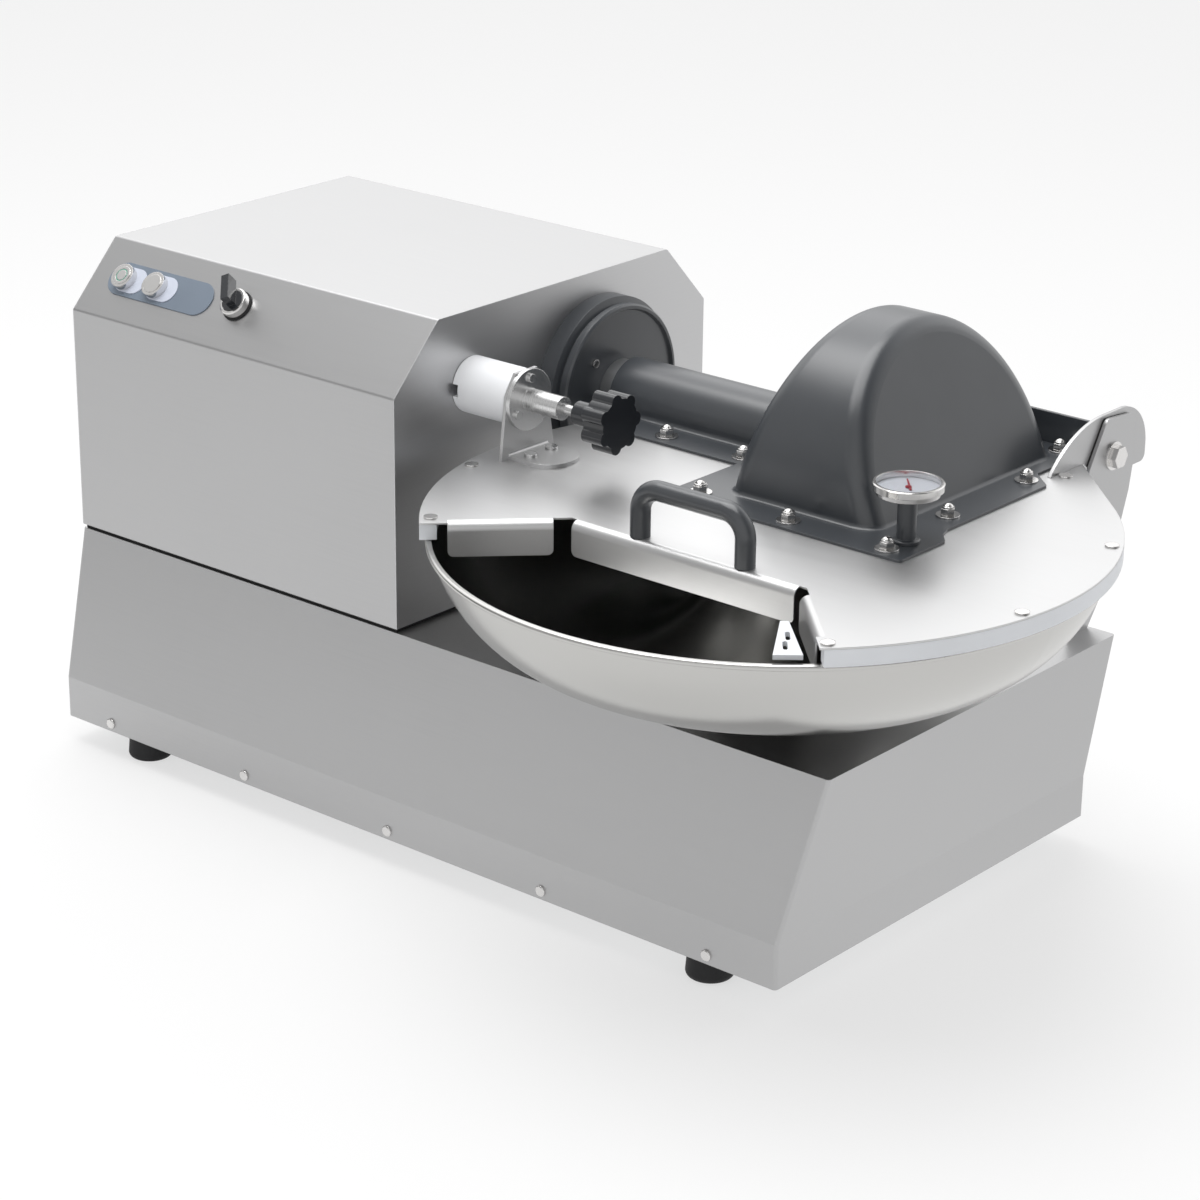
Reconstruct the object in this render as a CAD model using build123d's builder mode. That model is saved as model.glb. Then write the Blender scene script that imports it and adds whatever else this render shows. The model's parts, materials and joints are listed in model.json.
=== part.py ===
from build123d import *
import math
import os

os.makedirs("parts", exist_ok=True)

# ---------------------------------------------------------------------------
# Meat bowl cutter: millimetres, +Z up, floor at z = 0, origin under the middle
# of the whole machine. The motor housing is at -X, the bowl at +X, the loading
# side at -Y and the lid's hinge at +Y.
# ---------------------------------------------------------------------------

# Casing
foot_h = 29.5
foot_r = 24.5
foot_in_left = 100.0
foot_in_right = 103.0
foot_in_y = 31.0
foot_edge_r = 6.0
foot_draft = 2.0
base_h = 215.0
base_w = 530.7
skirt_h = 46.9
base_lean_front = 34.0
base_lean_rear = 6.6
base_lean_right = 28.9
housing_len = 477.9
housing_step = 34.1
housing_step_rear = 4.0
housing_over_shaft = 122.7
chamfer_w = 65.7
chamfer_h = 69.0
sheet = 2.0
skin = 1.5
bend_r = 4.0
fold_r = 4.0
seal_h = 4.0
seal_inset = 3.0
seal_w = 22.0

# Bowl and lid plan
bowl_r = 332.4
rim_bead_r = 3.0
bowl_wall = 3.0
trough_r = 150.2488
rim_drop = 33.0
trough_gap = 46.0
hump_drop = 54.0
lid_over = 5.6
lid_gap = 38.1
base_past_bowl = 146.0
hinge_over = 17.3
hinge_gap = 47.0
arm_back = 70.5

# Lid
ring_gap = 0.7
ring_h = 16.5
ring_w = 17.0
ring_start_gap = 4.0
lid_t = 2.0
opening_chord = 138.0
opening_half = 45.0
flap_roll_r = 9.0
flap_drop = 33.0
flap_corner_r = 12.0
flap_end_gap = 27.0
flap_start = 14.0
flap_tip_r = 6.0
relief_w = 4.0
lid_rear_in = 0.5
rear_panel_off = 28.0
rear_panel_t = 4.0
rear_panel_h = 35.0
arm_out = 134.0
arm_t = 4.0

# Knife cover
cover_t = 4.0
cover_flange_t = 2.6
dome_clear = 8.5
dome_shift = -3.5
dome_drop = 3.0
dome_x0 = -74.5
dome_x1 = 106.0
dome_top_x0 = -30.0
dome_top_x1 = 41.5
dome_crest_r = 22.0
cover_fillet_r = 5.0
tube_r = 39.0
tube_end = 50.1
tube_drop = 1.5
tube_flange = 85.0

# Knife shaft and knives
shaft_r = 17.45
knife_clear = 3.7488
knife_t = 4.0
knife_count = 3
knife_bevel_w = 7.0
knife_bevel_t = 2.8
bearing_r = 28.0
tube_wall = 4.0
drum_r = 97.0
drum_t = 35.0

# Fasteners
nut_af = 13.0
nut_h = 6.5
stud_r = 4.0
washer_r = 12.0
washer_t = 1.6
fit = 0.05

# Derived positions
lid_r = bowl_r + lid_over
lid_rear = lid_r - lid_rear_in
rear_panel_y = lid_r + rear_panel_off
shaft_off = bowl_r - rim_bead_r - math.sqrt(trough_r ** 2 - rim_drop ** 2)
knife_r = trough_r - bowl_wall - knife_clear
dome_r = knife_r + dome_clear + cover_t
left = -(housing_len + lid_gap + 2 * lid_r) / 2
wall_x = left + housing_len
bowl_x = wall_x + lid_gap + lid_r
base_x1 = bowl_x + base_past_bowl
bowl_from_front = base_w + hinge_over - hinge_gap - lid_r
rear_from_front = base_w + hinge_over + arm_back
front = -(bowl_from_front - bowl_r + rear_from_front) / 2
rear = front + base_w
hinge_y = rear + hinge_over
bowl_y = front + bowl_from_front
shaft_y = bowl_y + shaft_off
deck_z = foot_h + base_h
shaft_z = deck_z + trough_gap + trough_r
rim_z = shaft_z - rim_drop
ring_z = rim_z + ring_gap
lid_z = ring_z + ring_h
top_z = lid_z + lid_t
hinge_z = lid_z
house_z0 = deck_z + seal_h
house_z1 = shaft_z + housing_over_shaft
house_y0 = front + housing_step
house_y1 = rear - housing_step_rear
chamfer_z = house_z1 - chamfer_h
floor_t = 3.0
inner_x0 = left + sheet
inner_y0 = front + sheet
inner_y1 = rear - sheet


def finish(builder, label):
    """Name a finished piece and write its STEP file."""
    builder.part.label = label
    export_step(builder.part, "parts/" + label + ".step")


def rect_xy(x0, x1, y0, y1, z, radius=0.0):
    """A rectangle on a level plane, given by its edges, with optional round corners."""
    with BuildSketch(Plane.XY.offset(z)) as sk:
        with Locations(((x0 + x1) / 2, (y0 + y1) / 2)):
            if radius:
                RectangleRounded(x1 - x0, y1 - y0, radius)
            else:
                Rectangle(x1 - x0, y1 - y0)
    return sk.sketch


def poly_yz(points, x):
    """A closed polygon of (y, z) points on the plane across the X axis at x."""
    with BuildSketch(Plane.YZ.offset(x)) as sk:
        with BuildLine():
            Polyline(*points, close=True)
        make_face()
    return sk.sketch


def disc_x(x, y, z, r, hole=0.0):
    """A disc or ring square to the X axis."""
    with BuildSketch(Plane.YZ.offset(x)) as sk:
        with Locations((y, z)):
            Circle(r)
            if hole:
                Circle(hole, mode=Mode.SUBTRACT)
    return sk.sketch


def disc_z(x, y, z, r, hole=0.0):
    """A level disc or ring."""
    with BuildSketch(Plane.XY.offset(z)) as sk:
        with Locations((x, y)):
            Circle(r)
            if hole:
                Circle(hole, mode=Mode.SUBTRACT)
    return sk.sketch


def turn_x(y, z, points):
    """Half section of (x, radius) points, to revolve about the X line at y, z."""
    plane = Plane(origin=(0, y, z), x_dir=(1, 0, 0), z_dir=(0, 1, 0))
    with BuildSketch(plane) as sk:
        with BuildLine():
            Polyline(*[(px, -pr) for px, pr in points], close=True)
        make_face()
    return sk.sketch


def turn_z(x, y, points):
    """Half section of (radius, z) points, to revolve about the upright line at x, y."""
    with BuildSketch(Plane.XZ.offset(-y)) as sk:
        with BuildLine():
            Polyline(*[(x + pr, pz) for pr, pz in points], close=True)
        make_face()
    return sk.sketch


def axis_x(y, z):
    return Axis((0, y, z), (1, 0, 0))


def axis_z(x, y):
    return Axis((x, y, 0), (0, 0, 1))


# ---------------------------------------------------------------------------
# Base
# ---------------------------------------------------------------------------
screw_r = 3.0
screw_head_r = 6.0
screw_head_h = 2.4
screw_z = foot_h + 9.5
screw_first = 71.0
screw_last = 84.0
screw_count = 5
screw_pitch = (base_x1 - left - screw_first - screw_last) / (screw_count - 1)
screw_xs = [left + screw_first + i * screw_pitch for i in range(screw_count)]
floor_rim_h = 20.0
vent_off = 83.1
vent_pitch_x = 16.0
vent_pitch_y = 80.0
vent_len = 62.0
vent_w = 6.0

deck_open_in = 30.0
deck_open_len = 103.812
deck_open_half = 90.0
deck_open_x0 = left + deck_open_in
deck_open_x1 = deck_open_x0 + deck_open_len
deck_open_y0 = shaft_y - deck_open_half
deck_open_y1 = shaft_y + deck_open_half
spindle_r = 15.0
column_r = 34.0

with BuildPart() as base_shell:
    extrude(rect_xy(left, base_x1, front, rear, foot_h, bend_r), amount=skirt_h)
    with BuildSketch(Plane.XY.offset(foot_h + skirt_h)) as low:
        add(rect_xy(left, base_x1, front, rear, 0, bend_r))
    with BuildSketch(Plane.XY.offset(deck_z)) as high:
        add(rect_xy(left, base_x1 + base_lean_right, front + base_lean_front,
                    rear - base_lean_rear, 0, bend_r))
    loft(sections=[low.sketch, high.sketch])
    extrude(rect_xy(left + sheet, base_x1 - sheet, front + sheet, rear - sheet, foot_h,
                    bend_r - sheet), amount=skirt_h, mode=Mode.SUBTRACT)
    with BuildSketch(Plane.XY.offset(foot_h + skirt_h)) as low_in:
        add(rect_xy(left + sheet, base_x1 - sheet, front + sheet, rear - sheet, 0,
                    bend_r - sheet))
    with BuildSketch(Plane.XY.offset(deck_z - sheet)) as high_in:
        add(rect_xy(left + sheet, base_x1 + base_lean_right - sheet,
                    front + base_lean_front + sheet, rear - base_lean_rear - sheet, 0,
                    bend_r - sheet))
    loft(sections=[low_in.sketch, high_in.sketch], mode=Mode.SUBTRACT)
    extrude(rect_xy(deck_open_x0, deck_open_x1, deck_open_y0, deck_open_y1,
                    deck_z - 2 * sheet, 12.0), amount=4 * sheet, mode=Mode.SUBTRACT)
    extrude(disc_z(bowl_x, bowl_y, deck_z - 2 * sheet, spindle_r + 3.0),
            amount=4 * sheet, mode=Mode.SUBTRACT)
    for side in (front, rear):
        for sx in screw_xs:
            with BuildSketch(Plane.XZ.offset(-side - 3 * sheet)) as drill:
                with Locations((sx, screw_z)):
                    Circle(screw_r + fit)
            extrude(drill.sketch, amount=6 * sheet, mode=Mode.SUBTRACT)
finish(base_shell, "base_shell")

foot_xs = (left + foot_in_left, base_x1 - foot_in_right)
foot_ys = (front + foot_in_y, rear - foot_in_y)

with BuildPart() as floor_plate:
    extrude(rect_xy(inner_x0, base_x1 - sheet, inner_y0, inner_y1, foot_h,
                    bend_r - sheet), amount=floor_rim_h)
    extrude(rect_xy(inner_x0 + sheet, base_x1 - 2 * sheet, inner_y0 + sheet,
                    inner_y1 - sheet, foot_h + floor_t, bend_r - sheet),
            amount=floor_rim_h, mode=Mode.SUBTRACT)
    for side in (front, rear):
        for sx in screw_xs:
            with BuildSketch(Plane.XZ.offset(-side - 6 * sheet)) as drill:
                with Locations((sx, screw_z)):
                    Circle(screw_r + fit)
            extrude(drill.sketch, amount=12 * sheet, mode=Mode.SUBTRACT)
    with BuildSketch(Plane.XY.offset(foot_h)) as vents:
        with Locations((bowl_x - vent_off, (front + rear) / 2)):
            with GridLocations(vent_pitch_x, vent_pitch_y, 9, 3):
                SlotOverall(vent_len, vent_w, rotation=90)
    extrude(vents.sketch, amount=floor_t, mode=Mode.SUBTRACT)
finish(floor_plate, "floor_plate")

with BuildPart() as rubber_feet:
    for fx in foot_xs:
        for fy in foot_ys:
            with BuildSketch(Plane.XZ.offset(-fy)) as foot:
                with BuildLine():
                    Polyline((fx, foot_h), (fx, 0), (fx + foot_r - foot_edge_r, 0))
                    TangentArc((fx + foot_r - foot_edge_r, 0), (fx + foot_r, foot_edge_r),
                               tangent=(1, 0))
                    Polyline((fx + foot_r, foot_edge_r), (fx + foot_r - foot_draft, foot_h),
                             (fx, foot_h))
                make_face()
            revolve(foot.sketch, axis=axis_z(fx, fy))
finish(rubber_feet, "rubber_feet")

with BuildPart() as skirt_screws:
    for side, away in ((front, 1), (rear, -1)):
        for sx in screw_xs:
            with BuildSketch(Plane.XZ.offset(-side)) as head:
                with Locations((sx, screw_z)):
                    Circle(screw_head_r)
            extrude(head.sketch, amount=away * screw_head_h)
            with BuildSketch(Plane.XZ.offset(-side)) as shank:
                with Locations((sx, screw_z)):
                    Circle(screw_r)
            extrude(shank.sketch, amount=-away * 4 * sheet)
    chamfer(skirt_screws.faces().filter_by(Axis.Y).sort_by(Axis.Y)[:5].edges()
            .filter_by(GeomType.CIRCLE), 1.0)
    chamfer(skirt_screws.faces().filter_by(Axis.Y).sort_by(Axis.Y)[-5:].edges()
            .filter_by(GeomType.CIRCLE), 1.0)
finish(skirt_screws, "skirt_screws")

# ---------------------------------------------------------------------------
# Motor housing
# ---------------------------------------------------------------------------
def housing_points(inset):
    """The housing's section as (y, z) corners, moved in by inset."""
    slant = inset * math.tan(math.radians(22.5))
    return [
        (house_y0 + inset, house_z0 - inset),
        (house_y0 + inset, chamfer_z - slant),
        (house_y0 + chamfer_w + slant, house_z1 - inset),
        (house_y1 - chamfer_w - slant, house_z1 - inset),
        (house_y1 - inset, chamfer_z - slant),
        (house_y1 - inset, house_z0 - inset),
    ]


def housing_section(inset, x):
    """The housing's section square to the X axis, its folded corners rounded."""
    with BuildSketch(Plane.YZ.offset(x)) as sk:
        with BuildLine():
            Polyline(*housing_points(inset), close=True)
        make_face()
        fillet(sk.vertices().filter_by(lambda v: v.Y > house_z0 + skin), fold_r - inset)
    return sk.sketch


panel = Plane(
    origin=(left, house_y0, chamfer_z),
    x_dir=(1, 0, 0),
    z_dir=(0, -chamfer_h, chamfer_w),
)
button_spots = ((51.0, 49.0), (99.0, 49.0))
selector_spot = (219.0, 53.0)
bezel_body_r = 11.9
selector_body_r = 8.0

with BuildPart() as motor_housing:
    extrude(housing_section(0, left + skin), amount=housing_len - 2 * skin)
    extrude(housing_section(skin, left + skin), amount=housing_len - 2 * skin,
            mode=Mode.SUBTRACT)
    with BuildSketch(panel) as panel_holes:
        with Locations(*button_spots):
            Circle(bezel_body_r + fit)
        with Locations(selector_spot):
            Circle(selector_body_r + fit)
    extrude(panel_holes.sketch, amount=4 * skin, both=True, mode=Mode.SUBTRACT)
finish(motor_housing, "motor_housing")

bearing_tube_r = bearing_r + tube_wall
with BuildPart() as housing_ends:
    extrude(housing_section(0, left), amount=skin)
    extrude(housing_section(0, wall_x - skin), amount=skin)
    extrude(disc_x(wall_x - 2 * skin, shaft_y, shaft_z, bearing_tube_r + fit), amount=3 * skin,
            mode=Mode.SUBTRACT)
finish(housing_ends, "housing_ends")

with BuildPart() as housing_seal:
    extrude(rect_xy(left + seal_inset, wall_x - seal_inset, house_y0 + seal_inset,
                    house_y1 - base_lean_rear - seal_inset, deck_z), amount=seal_h)
    extrude(rect_xy(left + seal_w, wall_x - seal_w, house_y0 + seal_w,
                    house_y1 - base_lean_rear - seal_w, deck_z), amount=seal_h,
            mode=Mode.SUBTRACT)
finish(housing_seal, "housing_seal")

# ---------------------------------------------------------------------------
# Controls on the housing's front slope
# ---------------------------------------------------------------------------
pill_x0 = 26.0
pill_x1 = 182.0
pill_w = 39.6
pill_t = 1.0
legend_t = 0.8
bezel_r = 14.2
bezel_h = 8.0
bezel_depth = 14.0
cap_r = 11.0
cap_over = 0.6
cap_groove_r = 7.6
cap_groove_w = 1.4
ring_outer_r = 16.0
gasket_r = 17.5
gasket_t = 1.6
ring_top = 11.0
knob_r = 12.4


def on_panel(height=0.0):
    return panel.offset(height)


with BuildPart() as control_plate:
    with BuildSketch(on_panel()) as pill:
        with Locations(((pill_x0 + pill_x1) / 2, button_spots[0][1])):
            SlotOverall(pill_x1 - pill_x0, pill_w)
        with Locations(*button_spots):
            Circle(bezel_body_r + fit, mode=Mode.SUBTRACT)
    extrude(pill.sketch, amount=pill_t)
finish(control_plate, "control_plate")

with BuildPart() as legend_plates:
    with BuildSketch(on_panel(pill_t)) as legends:
        for bx, by in button_spots:
            with Locations((bx + 7.5, by)):
                SlotOverall(44.0, 30.0)
            with Locations((bx, by)):
                Circle(bezel_body_r + fit, mode=Mode.SUBTRACT)
    extrude(legends.sketch, amount=legend_t)
finish(legend_plates, "legend_plates")

bezel_z = pill_t + legend_t
with BuildPart() as button_bezels:
    for bx, by in button_spots:
        with BuildSketch(on_panel(bezel_z)) as crown:
            with Locations((bx, by)):
                Circle(bezel_r)
        extrude(crown.sketch, amount=bezel_h)
        with BuildSketch(on_panel(bezel_z)) as body:
            with Locations((bx, by)):
                Circle(bezel_body_r)
        extrude(body.sketch, amount=-bezel_depth - bezel_z)
        with BuildSketch(on_panel(bezel_z + bezel_h)) as well:
            with Locations((bx, by)):
                Circle(cap_r + fit)
        extrude(well.sketch, amount=-bezel_depth - 2 * bezel_z - bezel_h, mode=Mode.SUBTRACT)
finish(button_bezels, "button_bezels")


def button(spot):
    """A round button cap standing in its bezel."""
    with BuildSketch(on_panel(bezel_z + bezel_h + cap_over)) as cap:
        with Locations(spot):
            Circle(cap_r)
    extrude(cap.sketch, amount=-bezel_h - 6.0)


with BuildPart() as start_button:
    button(button_spots[0])
    with BuildSketch(on_panel(bezel_z + bezel_h + cap_over)) as light_groove:
        with Locations(button_spots[0]):
            Circle(cap_groove_r)
            Circle(cap_groove_r - cap_groove_w, mode=Mode.SUBTRACT)
    extrude(light_groove.sketch, amount=-cap_groove_w, mode=Mode.SUBTRACT)
finish(start_button, "start_button")

with BuildPart() as stop_button:
    button(button_spots[1])
finish(stop_button, "stop_button")

with BuildPart() as selector_gasket:
    with BuildSketch(on_panel()) as gasket:
        with Locations(selector_spot):
            Circle(gasket_r)
            Circle(selector_body_r + fit, mode=Mode.SUBTRACT)
    extrude(gasket.sketch, amount=gasket_t)
finish(selector_gasket, "selector_gasket")

with BuildPart() as selector_ring:
    with BuildSketch(on_panel(gasket_t)) as ring_low:
        with Locations(selector_spot):
            Circle(ring_outer_r)
    extrude(ring_low.sketch, amount=ring_top - gasket_t)
    chamfer(selector_ring.faces().sort_by(Axis.Z)[-1].edges(), 1.2)
    with BuildSketch(on_panel(ring_top)) as ring_well:
        with Locations(selector_spot):
            Circle(knob_r + fit)
    extrude(ring_well.sketch, amount=-5.0, mode=Mode.SUBTRACT)
    with BuildSketch(on_panel(gasket_t)) as ring_body:
        with Locations(selector_spot):
            Circle(selector_body_r)
    extrude(ring_body.sketch, amount=-20.0)
finish(selector_ring, "selector_ring")

with BuildPart() as selector_knob:
    with BuildSketch(on_panel(ring_top - 4.9)) as knob_base:
        with Locations(selector_spot):
            Circle(knob_r)
    extrude(knob_base.sketch, amount=5.4)
    with BuildSketch(on_panel(ring_top + 0.4)) as lever:
        with Locations(Location((selector_spot[0], selector_spot[1], 0), (0, 0, 122))):
            with Locations((9.0, 0)):
                Rectangle(30.0, 9.0)
    extrude(lever.sketch, amount=15.0)
finish(selector_knob, "selector_knob")

with BuildPart() as contact_blocks:
    for bx, by in button_spots:
        with BuildSketch(on_panel(-bezel_depth)) as block:
            with Locations((bx, by)):
                Rectangle(30.0, 42.0)
        extrude(block.sketch, amount=-32.0)
    with BuildSketch(on_panel(gasket_t - 20.0)) as block:
        with Locations(selector_spot):
            Rectangle(30.0, 42.0)
    extrude(block.sketch, amount=-32.0)
finish(contact_blocks, "contact_blocks")

# ---------------------------------------------------------------------------
# Knife shaft, its bearings and drive
# ---------------------------------------------------------------------------
drum_step = 20.0
drum_lip_r = 91.0
drum_face_r = 84.0
drum_screw_pcr = 54.0
tube_x0 = wall_x - 150.0
tube_x1 = bowl_x - 34.0

with BuildPart() as shaft_drum:
    revolve(turn_x(shaft_y, shaft_z, [
        (wall_x, bearing_tube_r + fit), (wall_x, drum_r), (wall_x + drum_step, drum_r),
        (wall_x + drum_step + 3.0, drum_lip_r - 3.0), (wall_x + drum_step + 5.0, drum_lip_r - 3.0),
        (wall_x + drum_step + 6.5, drum_lip_r), (wall_x + drum_t - 2.0, drum_lip_r),
        (wall_x + drum_t, drum_lip_r - 2.0), (wall_x + drum_t, drum_face_r + 2.0),
        (wall_x + drum_t - 3.5, drum_face_r), (wall_x + drum_t - 3.5, bearing_tube_r + fit)]),
        axis=axis_x(shaft_y, shaft_z))
finish(shaft_drum, "shaft_drum")

with BuildPart() as drum_screws:
    for angle in (138.0, 318.0):
        a = math.radians(angle)
        sy = shaft_y + drum_screw_pcr * math.cos(a)
        sz = shaft_z + drum_screw_pcr * math.sin(a)
        extrude(disc_x(wall_x + drum_t - 3.5, sy, sz, 4.5), amount=2.6)
finish(drum_screws, "drum_screws")

with BuildPart() as bearing_tube:
    extrude(disc_x(tube_x0, shaft_y, shaft_z, bearing_tube_r, bearing_r), amount=tube_x1 - tube_x0)
finish(bearing_tube, "bearing_tube")

bearing_w = 19.0
with BuildPart() as shaft_bearings:
    for bx in (tube_x0 + 8.0, tube_x1 - 8.0 - bearing_w):
        extrude(disc_x(bx, shaft_y, shaft_z, bearing_r, shaft_r + fit), amount=bearing_w)
finish(shaft_bearings, "shaft_bearings")

support_x0 = wall_x - 120.0
support_t = 26.0
with BuildPart() as shaft_support:
    extrude(poly_yz([
        (shaft_y - 105.0, deck_z), (shaft_y - 105.0, deck_z + 16.0), (shaft_y - 62.0, deck_z + 30.0),
        (shaft_y - 52.0, shaft_z), (shaft_y - 40.0, shaft_z + 48.0), (shaft_y + 40.0, shaft_z + 48.0),
        (shaft_y + 52.0, shaft_z), (shaft_y + 62.0, deck_z + 30.0), (shaft_y + 105.0, deck_z + 16.0),
        (shaft_y + 105.0, deck_z)], support_x0), amount=support_t)
    extrude(rect_xy(support_x0 - 26.0, support_x0 + support_t + 26.0, shaft_y - 105.0,
                    shaft_y + 105.0, deck_z, 8.0), amount=14.0)
    extrude(disc_x(support_x0 - 40.0, shaft_y, shaft_z, bearing_tube_r + fit),
            amount=support_t + 80.0, mode=Mode.SUBTRACT)
finish(shaft_support, "shaft_support")

pulley_x0 = left + 42.0
pulley_w = 44.0
pulley_lip = 4.0
pulley_lip_t = 3.5
pulley_hub = 10.0
pulley_dish = 12.0
pulley_rim = 8.0
shaft_pulley_r = 48.0
motor_pulley_r = 56.0
hub_x0 = bowl_x - 30.0
hub_r = 30.0
knife_x0 = bowl_x - 6.0
knife_gap = 10.0
knife_pitch = knife_t + knife_gap
shaft_x1 = knife_x0 + knife_count * knife_pitch + 12.0
shaft_end_r = 13.0

with BuildPart() as knife_shaft:
    revolve(turn_x(shaft_y, shaft_z, [
        (pulley_x0 - 6.0, 0), (pulley_x0 - 6.0, shaft_end_r), (pulley_x0 + pulley_w, shaft_end_r),
        (pulley_x0 + pulley_w, shaft_r), (hub_x0, shaft_r), (hub_x0, hub_r),
        (knife_x0, hub_r), (knife_x0, shaft_end_r), (shaft_x1, shaft_end_r), (shaft_x1, 0)]),
        axis=axis_x(shaft_y, shaft_z))
finish(knife_shaft, "knife_shaft")


def sickle(x, turn):
    """One curved knife blade on the plane square to the shaft."""
    def at(radius, degrees):
        a = math.radians(degrees + turn)
        return (shaft_y + radius * math.cos(a), shaft_z + radius * math.sin(a))
    with BuildSketch(Plane.YZ.offset(x)) as blade:
        with BuildLine():
            ThreePointArc(at(0.20 * knife_r, -40), at(0.72 * knife_r, 8), at(knife_r, 72))
            Line(at(knife_r, 72), at(0.90 * knife_r, 78))
            ThreePointArc(at(0.90 * knife_r, 78), at(0.44 * knife_r, 44), at(0.20 * knife_r, 90))
            Line(at(0.20 * knife_r, 90), at(0.20 * knife_r, -40))
        make_face()
        with Locations((shaft_y, shaft_z)):
            Circle(hub_r)
            Circle(shaft_end_r, mode=Mode.SUBTRACT)
            Circle(knife_r, mode=Mode.INTERSECT)
    return blade.sketch


def past_hub(edge):
    """Whether an edge of a knife lies outside its hub."""
    spot = edge.center()
    return math.hypot(spot.Y - shaft_y, spot.Z - shaft_z) > hub_r + 1.0


with BuildPart() as knives:
    for i in range(knife_count):
        extrude(sickle(knife_x0 + i * knife_pitch, 360.0 / knife_count * i), amount=knife_t)
        side = knives.faces(Select.LAST).sort_by(Axis.X)[-1]
        cutting_edge = side.edges().filter_by(past_hub).sort_by(SortBy.LENGTH)[-1]
        chamfer(cutting_edge, length=knife_bevel_w, length2=knife_bevel_t, reference=side)
finish(knives, "knives")

with BuildPart() as knife_spacers:
    for i in range(knife_count - 1):
        extrude(disc_x(knife_x0 + knife_t + i * knife_pitch, shaft_y, shaft_z, hub_r - 4.0,
                       shaft_end_r), amount=knife_gap)
finish(knife_spacers, "knife_spacers")

knife_nut_x = knife_x0 + (knife_count - 1) * knife_pitch + knife_t
with BuildPart() as knife_nut:
    extrude(disc_x(knife_nut_x, shaft_y, shaft_z, hub_r - 2.0, shaft_end_r), amount=5.0)
    with BuildSketch(Plane.YZ.offset(knife_nut_x + 5.0)) as hexagon:
        with Locations((shaft_y, shaft_z)):
            RegularPolygon(22.0, 6)
            Circle(shaft_end_r, mode=Mode.SUBTRACT)
    extrude(hexagon.sketch, amount=14.0)
finish(knife_nut, "knife_nut")

def pulley_section(r, bore):
    """Half section of a belt pulley: a flange each side of the rim, dished to its hub."""
    x0 = pulley_x0
    x1 = pulley_x0 + pulley_w
    lip = r + pulley_lip
    return [(x0, bore), (x0, bore + pulley_hub), (x0 + pulley_dish, bore + pulley_hub + 1.0),
            (x0 + pulley_dish, r - pulley_rim), (x0, r - pulley_rim + 1.0), (x0, lip),
            (x0 + pulley_lip_t, lip), (x0 + pulley_lip_t, r), (x1 - pulley_lip_t, r),
            (x1 - pulley_lip_t, lip), (x1, lip), (x1, bore)]


with BuildPart() as shaft_pulley:
    revolve(turn_x(shaft_y, shaft_z, pulley_section(shaft_pulley_r, shaft_end_r)),
            axis=axis_x(shaft_y, shaft_z))
finish(shaft_pulley, "shaft_pulley")

motor_r = 92.0
motor_len = 238.95
motor_x0 = pulley_x0 + pulley_w + 22.0
motor_y = shaft_y - 30.0
motor_h = 100.0
motor_z = foot_h + floor_t + motor_h
rotor_r = 14.0
cowl_len = 34.0

with BuildPart() as main_motor:
    extrude(disc_x(motor_x0, motor_y, motor_z, motor_r), amount=motor_len)
    for i in range(9):
        fx = motor_x0 + (i + 2) * motor_len / 13
        extrude(disc_x(fx, motor_y, motor_z, motor_r + 5.0, motor_r - 1.0), amount=3.0)
    extrude(disc_x(motor_x0 + motor_len, motor_y, motor_z, motor_r - 4.0), amount=cowl_len)
    fillet(main_motor.faces().sort_by(Axis.X)[-1].edges(), 12.0)
    extrude(rect_xy(motor_x0 + 60.0, motor_x0 + 150.0, motor_y - motor_r - 26.0,
                    motor_y - 0.8 * motor_r, motor_z - 32.0, 5.0), amount=64.0)
    extrude(rect_xy(motor_x0 + 40.0, motor_x0 + motor_len - 60.0, motor_y - 85.0, motor_y + 85.0,
                    foot_h + floor_t, 6.0), amount=14.0)
    extrude(rect_xy(motor_x0 + 50.0, motor_x0 + motor_len - 70.0, motor_y - 55.0, motor_y + 55.0,
                    foot_h + floor_t), amount=motor_h - 20.0)
    extrude(disc_x(motor_x0 - 1.0, motor_y, motor_z, rotor_r + fit), amount=0.6 * motor_len,
            mode=Mode.SUBTRACT)
finish(main_motor, "main_motor")

with BuildPart() as motor_rotor:
    extrude(disc_x(pulley_x0 - 4.0, motor_y, motor_z, rotor_r),
            amount=motor_x0 - pulley_x0 + 0.5 * motor_len)
finish(motor_rotor, "motor_rotor")

with BuildPart() as motor_pulley:
    revolve(turn_x(motor_y, motor_z, pulley_section(motor_pulley_r, rotor_r)),
            axis=axis_x(motor_y, motor_z))
finish(motor_pulley, "motor_pulley")

belt_t = 6.0
belt_w = 34.0
belt_gap = 0.3


def belt_loop(extra):
    """The outline round both pulleys, extra outside their grooves."""
    r0 = motor_pulley_r + extra
    r1 = shaft_pulley_r + extra
    dy = shaft_y - motor_y
    dz = shaft_z - motor_z
    dist = math.hypot(dy, dz)
    along = math.atan2(dz, dy)
    lean = math.asin((r0 - r1) / dist)
    a0 = along + math.pi / 2 - lean
    a1 = along - math.pi / 2 + lean

    def spot(cy, cz, r, a):
        return (cy + r * math.cos(a), cz + r * math.sin(a))
    with BuildSketch(Plane.YZ.offset(pulley_x0 + (pulley_w - belt_w) / 2)) as loop:
        with BuildLine():
            ThreePointArc(spot(motor_y, motor_z, r0, a0), spot(motor_y, motor_z, r0, along + math.pi),
                          spot(motor_y, motor_z, r0, a1))
            Line(spot(motor_y, motor_z, r0, a1), spot(shaft_y, shaft_z, r1, a1))
            ThreePointArc(spot(shaft_y, shaft_z, r1, a1), spot(shaft_y, shaft_z, r1, along),
                          spot(shaft_y, shaft_z, r1, a0))
            Line(spot(shaft_y, shaft_z, r1, a0), spot(motor_y, motor_z, r0, a0))
        make_face()
    return loop.sketch


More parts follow.
